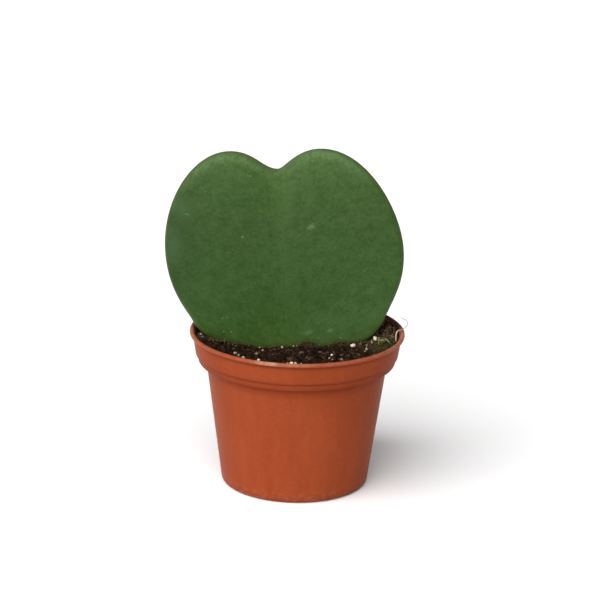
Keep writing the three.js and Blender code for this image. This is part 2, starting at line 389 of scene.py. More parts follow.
def potProfile():
    p = pot
    lipCentre = (p["lipOuter"] - p["lipRound"], p["height"] - p["lipRound"])
    underLip = p["height"] - p["lipDepth"]
    outside = [
        (p["pad"], 0, 0.4),
        (p["pad"] + p["recess"], p["recess"], 0.5),
        (p["footRingInner"] - 0.5, p["recess"], 0.4),
        (p["footRingInner"], 0, 0.3),
        (p["bodyFoot"] - 0.25, 0, 2.0),
        (p["bodyFoot"], p["bodyFootHeight"], 0.25),
        (p["step"], p["stepHeight"], 0.35),
        (p["ring"] - 0.3, p["stepHeight"] + 0.15, 0.7),
        (p["ring"], p["ringHeight"], 0.25),
        (p["bandFoot"] - 0.1, p["ringHeight"] + 0.1, 0.35),
        ((p["bandTop"] + p["bandFoot"]) / 2 + 0.2, (p["bandFootHeight"] + underLip) / 2, 2.5),
        (p["bandTop"], underLip - 0.4, 0.3),
    ]
    lip = []
    for step in range(19):
        out, up = onCircle(p["lipRound"], math.radians(-72 + 252 * step / 18))
        lip.append((lipCentre[0] + out, lipCentre[1] + up, 0))
    inside = [
        (innerRadius(underLip), underLip, 0.4),
        (innerRadius(p["bandFootHeight"]), p["bandFootHeight"], 0.4),
        (p["ring"] - p["wall"] - 0.6, p["stepHeight"] + 1.4, 0.5),
        (p["step"] - p["wall"], p["stepHeight"] - 0.3, 0.5),
        (p["bodyFoot"] - p["wall"] + 0.2, p["bodyFootHeight"] + 2, 0.8),
        (p["foot"], p["floorTop"], 0.5),
        (p["pad"] + p["recess"] + 0.5, p["floorTop"], 0.4),
        (p["pad"], p["floorTop"] - p["recess"], 0.4),
    ]
    corners = [(0, 0, 0)] + outside + lip + inside + [(0, p["floorTop"] - p["recess"], 0)]
    points = filleted(corners, 4)
    # long straight stretches get a ring every few millimetres
    dense = points[:1]
    for here, there in zip(points, points[1:]):
        parts = max(1, round((there - here).length / p["ringSpacing"]))
        dense += [here.lerp(there, k / parts) for k in range(1, parts + 1)]
    return dense


def makePot(material):
    profile = potProfile()
    sides = pot["sides"]
    rings = profile[1:-1]
    verts = [corner for point in rings for corner in ringPoints(point.x, point.y, sides)]
    faces = gridFaces(len(rings), sides)
    verts += [(0, 0, profile[0].y), (0, 0, profile[-1].y)]
    faces += capFaces(sides, 0, len(verts) - 2, True)
    faces += capFaces(sides, (len(rings) - 1) * sides, len(verts) - 1)
    cutPot(newPiece("pot_moulded", verts, faces, material, "pot_plastic", "pot"))


def cutPot(piece):
    # drain holes through the floor, and gaps that let water out under the back of the foot ring
    cutter = bmesh.new()
    radius = pot["drainRadius"] * mm
    for place in ringPoints(pot["drainCircle"], pot["floorTop"], pot["drainHoles"]):
        bmesh.ops.create_cone(
            cutter, cap_ends=True, segments=48, radius1=radius, radius2=radius,
            depth=pot["drainDepth"] * mm, matrix=Matrix.Translation(Vector(place) * mm))
    stretch = Matrix.Diagonal([length * mm for length in pot["footGap"]] + [1])
    for gap in range(pot["footGaps"]):
        turn = Matrix.Rotation(math.pi * (gap + 0.5) / pot["footGaps"], 4, "Z")
        place = Matrix.Translation((pot["foot"] * mm, 0, 0))
        bmesh.ops.create_cube(cutter, size=1, matrix=turn @ place @ stretch)
    mesh = bpy.data.meshes.new("cutter")
    cutter.to_mesh(mesh)
    cutter.free()
    tool = newObject("cutter", mesh)
    cut = piece.modifiers.new("drain", "BOOLEAN")
    cut.operation = "DIFFERENCE"
    cut.solver = "EXACT"
    cut.object = tool
    depsgraph = bpy.context.evaluated_depsgraph_get()
    cutMesh = bpy.data.meshes.new_from_object(piece.evaluated_get(depsgraph))
    piece.modifiers.clear()
    piece.data = cutMesh
    cutMesh.shade_smooth()
    cutMesh.set_sharp_from_angle(angle=math.radians(pot["sharpFrom"]))
    bpy.data.objects.remove(tool)


def potPlastic():
    # polypropylene, injection moulded in terracotta colour: an even satin skin with faint flow
    # clouds, pale dust over the lip under a painted highlight, painted shade in the creases, and soil
    # splashed up the inside with painted shade towards the back and over the back of the lip
    m, add = newMaterial("polypropylene, moulded terracotta satin")
    spot = add("TexCoord", out="Object")
    flow, level = (add("Mapping", {"Vector": spot, "Scale": (1.0, 1.0, upwards)})
                   for upwards in (0.12, 0.0))
    # clouds and streaks of the melt, specks and patches of dirt, and the grain of the mould,
    # which is drawn coarser than life so that it shows
    clouds, streaks, specks, patches, grain = (
        add("TexNoise", {
            "Vector": vector, "Scale": perMetre(size), "Detail": detail, "Roughness": rough})
        for vector, size, detail, rough in (
            (spot, 28, 3.0, 0.55), (flow, 6, 4.0, 0.6), (spot, 1.6, 5.0, 0.7),
            (spot, 9, 4.0, 0.6), (spot, 0.9, 3.0, 0.6)))
    both = add("Math", (clouds, streaks), "ADD")
    halved = add("Math", (both, 0.5), "MULTIPLY")
    colour = add("ValToRGB", (halved,), stops=pot["colours"])
    sideways, back, height = (add("SeparateXYZ", (spot,), out=axis) for axis in "XYZ")
    top = pot["height"]
    share = add("Math", (height, top * mm), "DIVIDE")
    # painted shade in the creases and at the foot, set by height
    creaseShade = add("ValToRGB", (share,), stops=[(place / top, tint) for place, tint in pot["creaseShade"]])
    colour = add("VectorMath", (colour, creaseShade), "MULTIPLY")
    # shares that run from one value to another over a part of the pot
    alongLip, nearFoot, onLip, climb, far, farLip = (
        add("MapRange", (way, pot[part][0] * mm, pot[part][1] * mm, first, last))
        for way, part, first, last in (
            (sideways, "lipSpan", 0.0, 1.0), (height, "footDust", 0.2, 0.03),
            (height, "lipDustAndLightFrom", 0.0, 1.0), (height, "splashedTo", 1.0, -0.1),
            (back, "splashShadeBehind", 0.0, 0.8), (back, "lipShadeBehind", 0.0, 0.85)))
    # dust, heavy on the lip and foot with a few specks elsewhere; on the lip it carries a painted
    # highlight too
    speck = add("MapRange", (specks, 0.42, 0.7, 0.0, 1.0))
    lipPatch = add("MapRange", (specks, 0.4, 0.64, 0.3, 0.85))
    # painted highlight and dust along the lip
    dustAndSheenAlongLip = add("ValToRGB", (alongLip,), stops=pot["lipDustAndSheen"])
    lipDustAndSheen = add("Math", (onLip, lipPatch), "MULTIPLY")
    lipDustAndSheen = add("Math", (lipDustAndSheen, dustAndSheenAlongLip), "MULTIPLY")
    dustAndSheen = add("Math", (nearFoot, speck), "MULTIPLY")
    dustAndSheen = add("Math", (lipDustAndSheen, dustAndSheen), "MAXIMUM")
    # wet soil up the inside wall, thinning towards the lip and thickened towards the back as painted
    # shade
    radius = add("VectorMath", (level,), "LENGTH", out="Value")
    low = pot["bandFootHeight"] + 1
    halfWall = 0.5 * pot["wall"]
    middle = add("MapRange", (height, low * mm, top * mm, (innerRadius(low) + halfWall) * mm,
                              (innerRadius(top) + halfWall) * mm))
    depth = add("Math", (middle, radius), "SUBTRACT")
    inside = add("MapRange", (depth, -0.1 * mm, 0.1 * mm, 0.0, 1.0))
    above = add("Math", (height, low * mm), "GREATER_THAN")
    inside = add("Math", (inside, above), "MULTIPLY")
    splash = add("Math", (patches, 1.1, -0.4), "MULTIPLY_ADD")
    for more in (climb, far):
        splash = add("Math", (splash, more), "ADD")
    splash = add("MapRange", (splash, 0.2, 0.75, 0.0, 0.92))
    soilAndShade = add("Math", (splash, inside), "MULTIPLY")
    # painted shade over the back of the lip, where the leaf's shadow falls
    farLip = add("Math", (farLip, onLip), "MULTIPLY")
    soilAndShade = add("Math", (soilAndShade, farLip), "MAXIMUM")
    for share, tint in ((dustAndSheen, "dustAndSheen"), (soilAndShade, "soilAndShade")):
        colour = add("Mix", {0: share, 6: colour, 7: pot[tint]}, data_type="RGBA", out=2)
    rough = add("MapRange", (streaks, 0.3, 0.7, 0.36, 0.46))
    ripple = add("Math", (streaks, 2.0), "MULTIPLY")
    relief = add("Math", (grain, ripple), "ADD")
    bump = add("Bump", {"Height": relief, "Strength": 0.25, "Distance": 0.05 * mm})
    skin = add("BsdfPrincipled", {
        "Base Color": colour, "Roughness": rough, "IOR": 1.49, "Specular IOR Level": 0.03,
        "Normal": bump, "Subsurface Weight": 0.08, "Subsurface Radius": (1.0, 0.35, 0.15),
        "Subsurface Scale": 0.8 * mm})
    add("OutputMaterial", (skin,))
    return m


makePot(potPlastic())
print("pot moulded and drilled")


leaf = {
    "base": (-3.4, -2.6, 48.8),   # lower end of the midrib, mm
    "leanBack": 4,
    "leanLeft": 4,
    "baseSlope": 8.5,
    "notch": 85,
    "centre": 45,
    "left": {"shoulder": (38.5, 22.5), "slope": 71, "widest": (48.2, 53), "lobe": (20, 93.2),
             "handles": (6.5, 10, 4, 18, 21.5, 14.5, 10.5, 6)},
    "right": {"shoulder": (40.5, 19), "slope": 65, "widest": (50, 48), "lobe": (17, 92.5),
              "handles": (16.5, 12, 10, 13.5, 17, 19.5, 9.5, 2.5)},
    "inset": 0.05,                # keeps the fine outline inside the solid's
    "thickness": 3.8,
    "edgeThickness": 3.0,
    "edgeRound": 2.5,
    "dome": 3.0,
    "groove": (0.3, 5, 40),       # depth, half width, and height where it starts
    "rib": (0.6, 3),              # height and half width behind the blade
    "softWaves": (0.256, 0.055),  # height, and waves per mm
    "fineWaves": (0.032, 0.2, 0.16),
    "spokes": 400,
    "edgeSteps": 9,
    "innerRings": 44,
    "petioleRadius": 2.2,
    "petioleLength": 8,
}


def halfOutline(half, side):
    offBase, toShoulder, offShoulder, toWidest, offWidest, toLobe, offLobe, toNotch = half["handles"]
    start = np.array(onCircle(1, math.radians(leaf["baseSlope"])))
    rise = np.array(onCircle(1, math.radians(half["slope"])))
    shoulder, widest, lobe = (np.array(half[key], float) for key in ("shoulder", "widest", "lobe"))
    base = np.array([0.0, 0.0])
    notch = np.array([0.0, leaf["notch"]])
    across = np.array([1.0, 0.0])
    up = np.array([0.0, 1.0])
    curves = [
        (base, offBase * start, shoulder - toShoulder * rise, shoulder),
        (shoulder, shoulder + offShoulder * rise, widest - toWidest * up, widest),
        (widest, widest + offWidest * up, lobe + toLobe * across, lobe),
        (lobe, lobe - offLobe * across, notch + toNotch * across, notch),
    ]
    points = []
    for first, second, third, fourth in curves:
        for t in np.linspace(0, 1, 120, endpoint=False):
            points.append((1 - t) ** 3 * first + 3 * (1 - t) ** 2 * t * second
                          + 3 * (1 - t) * t ** 2 * third + t ** 3 * fourth)
    points.append(notch)
    return np.array(points) * np.array([side, 1.0])


def leafOutline():
    # right half up to the notch, left half back down, at equal steps along the margin
    loop = np.vstack([halfOutline(leaf["right"], 1), halfOutline(leaf["left"], -1)[::-1][1:]])
    length = np.concatenate([[0], np.cumsum(np.linalg.norm(np.diff(loop, axis=0), axis=1))])
    wanted = np.linspace(0, length[-1], leaf["spokes"], endpoint=False)
    return np.stack([np.interp(wanted, length, loop[:, 0]), np.interp(wanted, length, loop[:, 1])], 1)


def poseLeaf(points):
    turn = Matrix.Rotation(-math.radians(leaf["leanBack"]), 3, "X")
    turn = turn @ Matrix.Rotation(-math.radians(leaf["leanLeft"]), 3, "Y")
    return np.asarray(points) @ np.array(turn).T + np.array(leaf["base"])


def smoothStep(value, low, high):
    t = min(1.0, max(0.0, (value - low) / (high - low)))
    return t * t * (3 - 2 * t)


def leafForward(across, up, inward):
    # how far the blade stands forward of the plane of its margin
    depth, width, foot = leaf["groove"]
    groove = depth * smoothStep(up, foot, leaf["notch"]) * math.exp(-(across / width) ** 2)
    rise, often = leaf["softWaves"]
    soft = rise * fractal(across * often, up * often, 3.1, 2)
    rise, oftenAcross, oftenUp = leaf["fineWaves"]
    fine = rise * fractal(across * oftenAcross, up * oftenUp, 8.7, 2)
    inner = min(1.0, inward * 6)
    return leaf["dome"] * (1 - (1 - inward) ** 2) - groove * inward + (soft + fine) * inner


def leafRings():
    rings = []
    for step in range(leaf["edgeSteps"] + 1):
        angle = step / leaf["edgeSteps"] * math.pi / 2
        rings.append((leaf["edgeRound"] * (1 - math.cos(angle)), 1.0, math.sin(angle)))
    for step in range(1, leaf["innerRings"]):
        rings.append((leaf["edgeRound"], 1 - step / leaf["innerRings"], 1.0))
    return rings


def makeLeaf(material):
    outline = leafOutline()
    spokes = leaf["spokes"]
    along = np.roll(outline, -1, axis=0) - np.roll(outline, 1, axis=0)
    inwards = np.stack([-along[:, 1], along[:, 0]], 1)
    inwards /= np.linalg.norm(inwards, axis=1)[:, None]
    middle = np.array([0.0, leaf["centre"]])
    reachAll = np.linalg.norm(outline - middle, axis=1)
    verts = []
    edge = []
    ribHeight, ribWidth = leaf["rib"]
    thinnest = leaf["edgeThickness"]
    rings = leafRings()
    for face in (-1, 1):
        for inset, scale, swell in rings:
            places = outline + inwards * (inset + leaf["inset"])
            places = (places - middle) * scale + middle
            reach = np.linalg.norm(places - middle, axis=1) / reachAll
            for spoke in range(spokes):
                across, up = places[spoke]
                inward = min(1.0, max(0.0, 1 - reach[spoke]))
                thickness = thinnest + (leaf["thickness"] - thinnest) * inward
                rib = ribHeight * inward * math.exp(-(across / ribWidth) ** 2) if face > 0 else 0
                forward = leafForward(across, up, inward)
                verts.append((across, face * swell * (thickness / 2 + rib) - forward, up))
            edge += list((1 - reach) * reachAll)
        rib = ribHeight if face > 0 else 0
        hub = face * (leaf["thickness"] / 2 + rib) - leafForward(0, leaf["centre"], 1)
        verts.append((0, hub, leaf["centre"]))
        edge.append(leaf["centre"])
    faceSize = len(rings) * spokes + 1
    faces = []
    for side in (0, 1):
        start = side * faceSize
        faces += gridFaces(len(rings), spokes, start, side == 1)
        faces += capFaces(spokes, start + (len(rings) - 1) * spokes, start + faceSize - 1, side == 1)
    local = np.array(verts)
    piece = newPiece(
        "leaf_blade", poseLeaf(local), faces, material, "leaf_green", "leaf", across=local[:, 0],
        up=local[:, 2], edge=edge, under=[0.0] * faceSize + [1.0] * faceSize)
    weld = bmesh.new()
    weld.from_mesh(piece.data)
    bmesh.ops.remove_doubles(weld, verts=weld.verts, dist=0.0005 * mm)
    weld.to_mesh(piece.data)
    weld.free()
    return piece


def makePetiole(material):
    # the short stalk under the blade, swollen where it joins the midrib, hidden in the soil
    route = []
    radii = []
    for step in range(25):
        t = step / 24
        route.append((0, -0.6 * (1 - t), 4 - t * (4 + leaf["petioleLength"])))
        radii.append(leaf["petioleRadius"] * (0.93 + 0.32 * (1 - t) ** 3 + 0.03 * math.sin(9 * t)))
    radii[-1] *= 0.9
    local, faces = tubeShape(route, radii, 40)
    return newPiece(
        "leaf_petiole", poseLeaf(local), faces, material, "leaf_green", across=local[:, 0],
        up=local[:, 2], edge=np.full(len(local), 8.0), under=np.full(len(local), 0.6))


leafFinish = {
    # height up the blade in mm and the green there, lighter towards the top and the foot as painted
    # light, darker in the middle
    "shadedGreens": [
        (10, "#3a5120"), (21, "#344e1f"), (30, "#2b4619"), (45, "#2a4317"), (60, "#2a4116"),
        (76, "#2e4618"), (86, "#344c1e"), (94, "#385121")],
    # tint from the left margin to the right: darker at the left margin as painted shade, lighter on
    # the right as painted light
    "sides": [
        (0.0, "#b6b9b1"), (0.1, "#d3d7cf"), (0.2, "#d9e0d0"), (0.45, "#dde3d2"), (0.52, "#e8ebe4"),
        (0.7, "#eeeff7"), (0.9, "#f2f0f8")],
    # tint of the dark and the light mottling, and how light the greens come out under it
    "wax": [(0.0, "#92a562"), (1.0, "#e7dcfb")],
    "lightness": 2.25,
    "mottling": (0.78, 0.16, 0.44),   # shares of the clouds, the side veins and the speckle
    "darkToLight": (0.52, 0.83),
    "veinRise": 0.42,
    "ribGreen": "#3e5921",
    "ribWidth": 8.0,              # to either side of the midrib, mm
    "ribFade": (20.0, 84.0, 0.05, 0.42),   # from and to up the blade, and its strength there
    "haze": "#456440",
    # painted highlight along the upper lobes' margins
    "marginHighlight": "#6b8859",
    "margin": "#454f30",
    "under": "#77905c",
    "scuff": "#97a888",
    "foot": "#556829",
    "soiled": "#3a3919",
    # across, up, length, width in mm, tilt in degrees, and strength
    "marks": [
        (12.4, 61, 3.46, 1.84, 25, 0.19), (-15.8, 58, 0.97, 0.54, 30, 0.28),
        (-30.2, 77.2, 1.73, 0.38, 10, 0.19), (-38.2, 68.2, 1.94, 0.54, -35, 0.15),
        (-21.9, 51.7, 1.51, 0.38, -10, 0.15), (-11.5, 82.8, 0.86, 0.65, 0, 0.17),
        (-26.1, 23.8, 1.19, 0.49, 40, 0.22), (-24, 24.1, 0.86, 0.43, -30, 0.19),
        (-25.9, 18.1, 0.7, 0.5, 20, 0.5), (-22.6, 17.7, 0.75, 0.5, -20, 0.65),
        (21.8, 51.8, 0.38, 0.32, 0, 0.31), (33.9, 41.7, 2.81, 0.38, 40, 0.14),
        (13.6, 20.2, 0.76, 0.54, 0, 0.19), (9.5, 16.3, 3.89, 1.73, 20, 0.14),
        (17.9, 16.6, 2.81, 1.51, 0, 0.15), (13.2, 13.6, 0.97, 0.38, -20, 0.37),
        (22.3, 13.2, 0.97, 0.38, -25, 0.37), (9.4, 29.1, 2.7, 0.27, 12, 0.12)],
    "bloom": [
        (-41, 71, 8, 5, -40, 0.25), (-45, 55, 5, 11, 0, 0.3), (19, 17, 18, 6, 0, 0.28),
        (30, 84, 9, 5, -35, 0.2), (-22, 84, 9, 4, 10, 0.1)],
}


def leafSkin():
    # fleshy hoya leaf under a waxy cuticle: a soft even sheen over fine cloudy mottling, a
    # yellower line over the midrib, faint side veins, pale water marks and a thin dull margin
    m, add = newMaterial("hoya leaf, waxy cuticle")
    across, up, edge, under, above = (add("Attribute", attribute_name=name, out="Fac")
                                      for name in ("across", "up", "edge", "under", "above"))
    # leaf coordinates in mm; the side veins rise outwards from the midrib, their streaks about
    # 10 mm long and 1.7 mm wide
    outward = add("Math", (across,), "ABSOLUTE")
    sheared = add("Math", (outward, -leafFinish["veinRise"], up), "MULTIPLY_ADD")
    flat = add("CombineXYZ", (across, up, under))
    veinPlace = add("CombineXYZ", (across, sheared, under))
    stretched = add("Mapping", {"Vector": veinPlace, "Scale": (0.1, 0.6, 1)})
    veins = add("TexNoise", {"Vector": stretched, "Scale": 1.0, "Detail": 3.0, "Roughness": 0.6})
    # mottling of every size from 5 mm down to a tenth
    mottle = add("TexNoise", {"Vector": flat, "Scale": 1 / 5, "Detail": 6.0, "Roughness": 0.85})
    speckle = add("TexNoise", {"Vector": flat, "Scale": 1 / 1.3, "Detail": 3.0, "Roughness": 0.7})
    share = add("Math", (up, 100.0), "DIVIDE")
    # green by height, holding painted light at the top and foot
    body = add("ValToRGB", (share,), stops=[
        (place / 100, green) for place, green in leafFinish["shadedGreens"]])
    tone = 0.0
    for pattern, weight in zip((mottle, veins, speckle), leafFinish["mottling"]):
        tone = add("Math", (pattern, weight, tone), "MULTIPLY_ADD")
    # deeper green where it is dark, greyer with wax where it is light
    light = add("MapRange", (tone, *leafFinish["darkToLight"], 0.0, 1.0))
    wax = add("ValToRGB", (light,), stops=leafFinish["wax"])
    colour = add("VectorMath", (body, wax), "MULTIPLY")
    colour = add("VectorMath", {0: colour, "Scale": leafFinish["lightness"]}, "SCALE")
    # painted shade towards the left margin, painted light towards the right
    width = add("MapRange", (across, -50.0, 50.0, 0.0, 1.0))
    side = add("ValToRGB", (width,), stops=leafFinish["sides"])
    colour = add("VectorMath", (colour, side), "MULTIPLY")
    # a yellower band over the midrib, strongest by the notch
    band = add("MapRange", (outward, 0.0, leafFinish["ribWidth"], 1.0, 0.0),
               interpolation_type="SMOOTHSTEP")
    bandFade = add("MapRange", (up, *leafFinish["ribFade"]))
    for share in (bandFade, speckle):
        band = add("Math", (band, share), "MULTIPLY")
    colour = add("Mix", {0: band, 6: colour, 7: leafFinish["ribGreen"]}, data_type="RGBA", out=2)
    # bluish bloom of the wax in soft patches, then pale scuffs and dried drops, their edges
    # ragged at about 0.7 mm
    ragged = add("TexNoise", {"Vector": flat, "Scale": 1.4, "Detail": 4.0, "Roughness": 0.7})
    for marks, tint, cloud, raggedness, inner, outer in (("bloom", "haze", mottle, 3.0, 1.4, 2.7),
                                                         ("marks", "scuff", ragged, 2.2, 1.1, 1.9)):
        for placeAcross, placeUp, length, width, tilt, strength in leafFinish[marks]:
            local = add("Mapping", (flat, (placeAcross, placeUp, 0), (0, 0, math.radians(tilt)),
                                    (length, width, 0.3)), vector_type="TEXTURE")
            away = add("VectorMath", (local,), "LENGTH", out="Value")
            fringe = add("Math", (cloud, raggedness, away), "MULTIPLY_ADD")
            mark = add("MapRange", (fringe, inner, outer, strength, 0.0),
                       interpolation_type="SMOOTHSTEP")
            colour = add("Mix", {0: mark, 6: colour, 7: leafFinish[tint]}, data_type="RGBA", out=2)
    # painted highlight just inside the margin of the upper lobes, where the rounded margin catches
    # light from above
    pale = add("MapRange", (edge, 0.5, 1.8, 0.0, 1.0))
    falling = add("MapRange", (edge, 2.0, 5.5, 1.0, 0.0), interpolation_type="SMOOTHSTEP")
    upper = add("MapRange", (up, 76.0, 91.0, 0.0, 0.9))
    lobe = add("MapRange", (outward, 3.0, 15.0, 0.4, 1.0))
    patchy = add("Math", (mottle, speckle), "MULTIPLY")
    for share in (falling, upper, lobe, patchy):
        pale = add("Math", (pale, share), "MULTIPLY")
    # yellowing of the margin low down, and peat drawn up the foot of the blade
    foot = add("MapRange", (edge, 0.6, 2.4, 1.0, 0.0))
    low = add("MapRange", (up, 16.0, 33.0, 0.45, 0.0))
    foot = add("Math", (foot, low), "MULTIPLY")
    drawn = add("Math", (ragged, 3.2, above), "MULTIPLY_ADD")
    drawn = add("MapRange", (drawn, 1.8, 3.9, 0.78, 0.0))
    # then the paler underside, and the dull line along the very edge
    rim = add("MapRange", (edge, 0.25, 1.1, 0.8, 0.0))
    for share, tint in ((pale, "marginHighlight"), (foot, "foot"), (drawn, "soiled"), (under, "under"),
                        (rim, "margin")):
        colour = add("Mix", {0: share, 6: colour, 7: leafFinish[tint]}, data_type="RGBA", out=2)
    rough = add("MapRange", (mottle, 0.3, 0.7, 0.42, 0.56))
    relief = add("Math", (veins, 0.5, speckle), "MULTIPLY_ADD")
    bump = add("Bump", {"Height": relief, "Strength": 0.4, "Distance": 0.12 * mm})
    skin = add("BsdfPrincipled", {
        "Base Color": colour, "Roughness": rough, "IOR": 1.45, "Normal": bump,
        "Subsurface Weight": 0.12, "Subsurface Radius": (0.35, 1.0, 0.2),
        "Subsurface Scale": 0.9 * mm, "Specular IOR Level": 0.2})
    add("OutputMaterial", (skin,))
    return m


leafMaterial = leafSkin()
leafPieces = [makeLeaf(leafMaterial), makePetiole(leafMaterial)]
print("leaf grown")


soil = {
    "level": 61.1,
    "frontRise": 0.02,
    "sideRise": 2,
    "sideStart": 8,
    "hollow": 1.9,
    "hollowPlace": (-15, -6),
    "hollowReach": (13, 9),
    "bank": 2.3,                  # loose soil heaped by the wall behind the leaf's right edge
    # soil line along the foot of the blade: across and height in mm
    "line": [
        (-37, 62.6), (-35, 61.6), (-31.5, 61.0), (-28, 60.1), (-23, 59.8), (-19.5, 59.1),
        (-15.5, 58.5), (-10, 58.8), (-5, 59.3), (-1, 59.6), (2, 61.4), (5, 61.8), (7.5, 60.0),
        (11.5, 59.8), (14.5, 61.0), (18.5, 62.0), (21.5, 61.2), (24.5, 61.6), (28, 62.2),
        (31, 62.3)],
    "lineCover": 0.3,             # what the crumbs add to the line
    "lineReach": 2.4,
    "clodRelief": (1.6, 0.3),     # height, and lumps per mm
    "crumbRelief": (0.9, 0.8),
    "settled": 0.7,
    "wallGap": 0.12,
    "spokes": 384,
    "rings": 120,
    "colours": [(0.35, "#120a03"), (0.6, "#29190b"), (0.85, "#664a38")],
    "barkColours": [(0.2, "#1c100a"), (0.5, "#3e2619"), (0.75, "#583f33"), (1.0, "#775a54")],
    "fibreColours": [(0.0, "#271810"), (0.55, "#543a29"), (0.85, "#84664f"), (1.0, "#ad9779")],
    "perliteColours": [
        (0.25, "#453425"), (0.5, "#82725b"), (0.7, "#b6a689"), (0.88, "#cfc6af"), (1.0, "#4b5054")],
    "algae": "#4a4624",
    "algaeSpot": ((34, -12, 63), (7, 9, 9)),   # middle and reach
    "algaeStrength": 0.42,
    "filmReach": (2.5, 7),        # from the middle of the blade
    "crumbSeed": 11,
    # how many of each size, radii from and to in mm, and how round
    "crumbSizes": [(1500, 0.16, 0.34, 1), (1100, 0.3, 0.6, 2), (260, 0.5, 0.95, 2)],
    "clodSizes": [(26, 0.9, 1.4, 3)],
    # length, width and height of each lump as shares of its radius, from and to
    "crumbStretch": ((0.7, 1.4), (0.6, 1.0), (0.5, 0.9)),
    "grainStretch": ((1.0, 1.3), (0.7, 1.0), (0.75, 1.05)),
    "footCrumbs": 210,            # against each face of the blade
    "footReach": (-39, 31),
    "footRadius": (0.2, 0.6),
    "fibreSeed": 23,
    "fibres": 120,
    "fibreLength": (2.0, 6.0),
    "fibreRadius": (0.06, 0.13),
    "fibreBend": 0.35,            # radians a step, to either side
    "fibreArch": (0.1, 0.6),
    "barkSeed": 31,
    "barkChips": 60,
    "barkRadius": (0.6, 1.2),
    # larger chips in plain view: across, away from the front, radius, and tone from brown to grey
    "chips": [
        (36.6, 4.4, 0.6, 1.3), (37.6, 4.0, 0.5, 1.1), (39.2, -1.3, 0.55, 1.2),
        (39.6, -0.4, 0.4, 1.0), (36.2, 1.3, 0.5, 0.9), (38.1, 3.7, 0.45, 0.9),
        (34.8, 5.5, 0.5, 0.8), (40.3, 3.3, 0.45, 1.0), (37.4, -0.6, 0.5, 0.9),
        (34.9, -1.2, 0.5, 0.7), (36.5, -3.6, 0.5, 0.9), (39.0, -4.6, 0.45, 0.8),
        (37.9, 6.2, 0.4, 1.0), (30.3, -15.8, 0.5, 0.8), (24.6, -15.8, 0.5, 0.6),
        (21.2, -27.3, 0.5, 0.5), (26.3, -9.8, 0.4, 0.9), (27.3, -12.6, 0.4, 0.95),
        (25.5, -11.4, 0.35, 0.8), (30.9, -6.2, 0.4, 0.1), (4.7, -16.0, 0.6, 0.5),
        (1.3, -22.8, 0.5, 0.4), (-8.9, -19.4, 0.5, 0.4), (-20.0, -18.6, 0.5, 0.4),
        (-30.6, -19.2, 0.4, 0.6), (-34.3, -12.3, 0.3, 0.8)],
    "perliteSeed": 47,
    # grains in plain view: across, away from the front, radius in mm, and shade from tan to white
    "grains": [
        (23.1, -10.6, 1.0, 0.85), (32.4, -1.9, 0.9, 0.95), (30.8, -6.8, 0.4, 1.1),
        (33.3, 4.8, 0.35, 0.4), (-39.9, -3.2, 0.45, 1.1), (-39.0, -8.7, 0.55, 1.3),
        (-25.0, -14.4, 0.35, 0.05), (-25.7, -17.1, 0.35, 0.0), (-15.3, -4.8, 0.45, 0.8),
        (-14.0, -17.3, 0.35, 0.35), (-16.4, -24.5, 0.6, 0.25), (-25.1, -25.7, 0.55, 0.5),
        (-23.7, -26.4, 0.5, 0.6), (-21.6, -30.1, 0.6, 0.65), (-6.1, -9.5, 0.45, 0.6),
        (-1.4, -6.8, 0.4, 0.3), (0.0, -5.2, 0.3, 0.6), (26.1, -7.1, 0.4, 0.1),
        (28.4, -18.4, 0.45, 0.5), (27.9, -23.0, 0.45, 0.2), (31.7, -19.6, 0.35, -0.1),
        (14.3, -22.7, 0.45, 0.9), (13.3, -26.2, 0.3, 0.6), (14.5, -26.6, 0.4, 0.3),
        (18.2, -29.8, 0.45, 0.35), (-35.7, -8.9, 0.25, 0.2), (-34.7, -6.9, 0.22, 0.3),
        (-32.8, -8.8, 0.2, 0.15), (-31.3, -9.7, 0.25, 0.2), (-29.9, -9.7, 0.2, 0.3),
        (-28.1, -14.7, 0.25, 0.1), (-26.5, -11.6, 0.22, 0.2), (-19.8, -8.7, 0.2, 0.2)],
    # grains caught on the lip: bearing from the right in degrees, radius and shade
    "lipGrains": [
        (249.4, 0.5, 1.0), (267.4, 0.5, 0.85), (269.4, 0.42, 0.7), (265.3, 0.3, 0.3),
        (272.5, 0.2, 0.5), (287.5, 0.2, 0.2)],
    "lipBearing": 62,             # degrees up the rounding of the lip where they rest
    "hiddenGrains": 30,
    "grainRadius": (0.4, 1.15),
}


def soilHeight(x, y):
    lumps = 0.35 * math.sin(0.42 * x + 1.3) * math.cos(0.36 * y - 0.4)
    lumps += 0.25 * math.sin(0.75 * x - 0.6 * y)
    sides = soil["sideRise"] * smoothStep(abs(x), soil["sideStart"], pot["lipOuter"])
    (midX, midY), (reachX, reachY) = soil["hollowPlace"], soil["hollowReach"]
    hollow = soil["hollow"] * math.exp(-((x - midX) / reachX) ** 2 - ((y - midY) / reachY) ** 2)
    return soil["level"] - soil["frontRise"] * y + sides - hollow + lumps


def nearBlade(x, y):
    # 1 against either face of the blade, fading out over a few millimetres
    gap = max(0.0, abs(y - leafPlaneY(soil["level"])) - leaf["thickness"] / 2)
    return math.exp(-(gap / soil["lineReach"]) ** 2) * (1 - smoothStep(abs(x + 3), 33, 38))


def soilSurface(x, y):
    # the broad relief with clods of a few millimetres and crumbs down to half a millimetre
    rise, often = soil["clodRelief"]
    clods = abs(fractal(x * often, y * often, 1.7, 2)) * rise
    rise, often = soil["crumbRelief"]
    crumbs = fractal(x * often, y * often, 5.2, 3, 0.6) * rise
    bank = (soil["bank"] * smoothStep(math.hypot(x, y), 29, 41) * smoothStep(x, 18, 34)
            * smoothStep(y, -8, 6))
    near = nearBlade(x, y)
    height = soilHeight(x, y) + bank
    height += near * (np.interp(x, *zip(*soil["line"])) + soil["lineCover"] - height)
    return height + (clods + crumbs) * (1 - 0.5 * near) - soil["settled"]


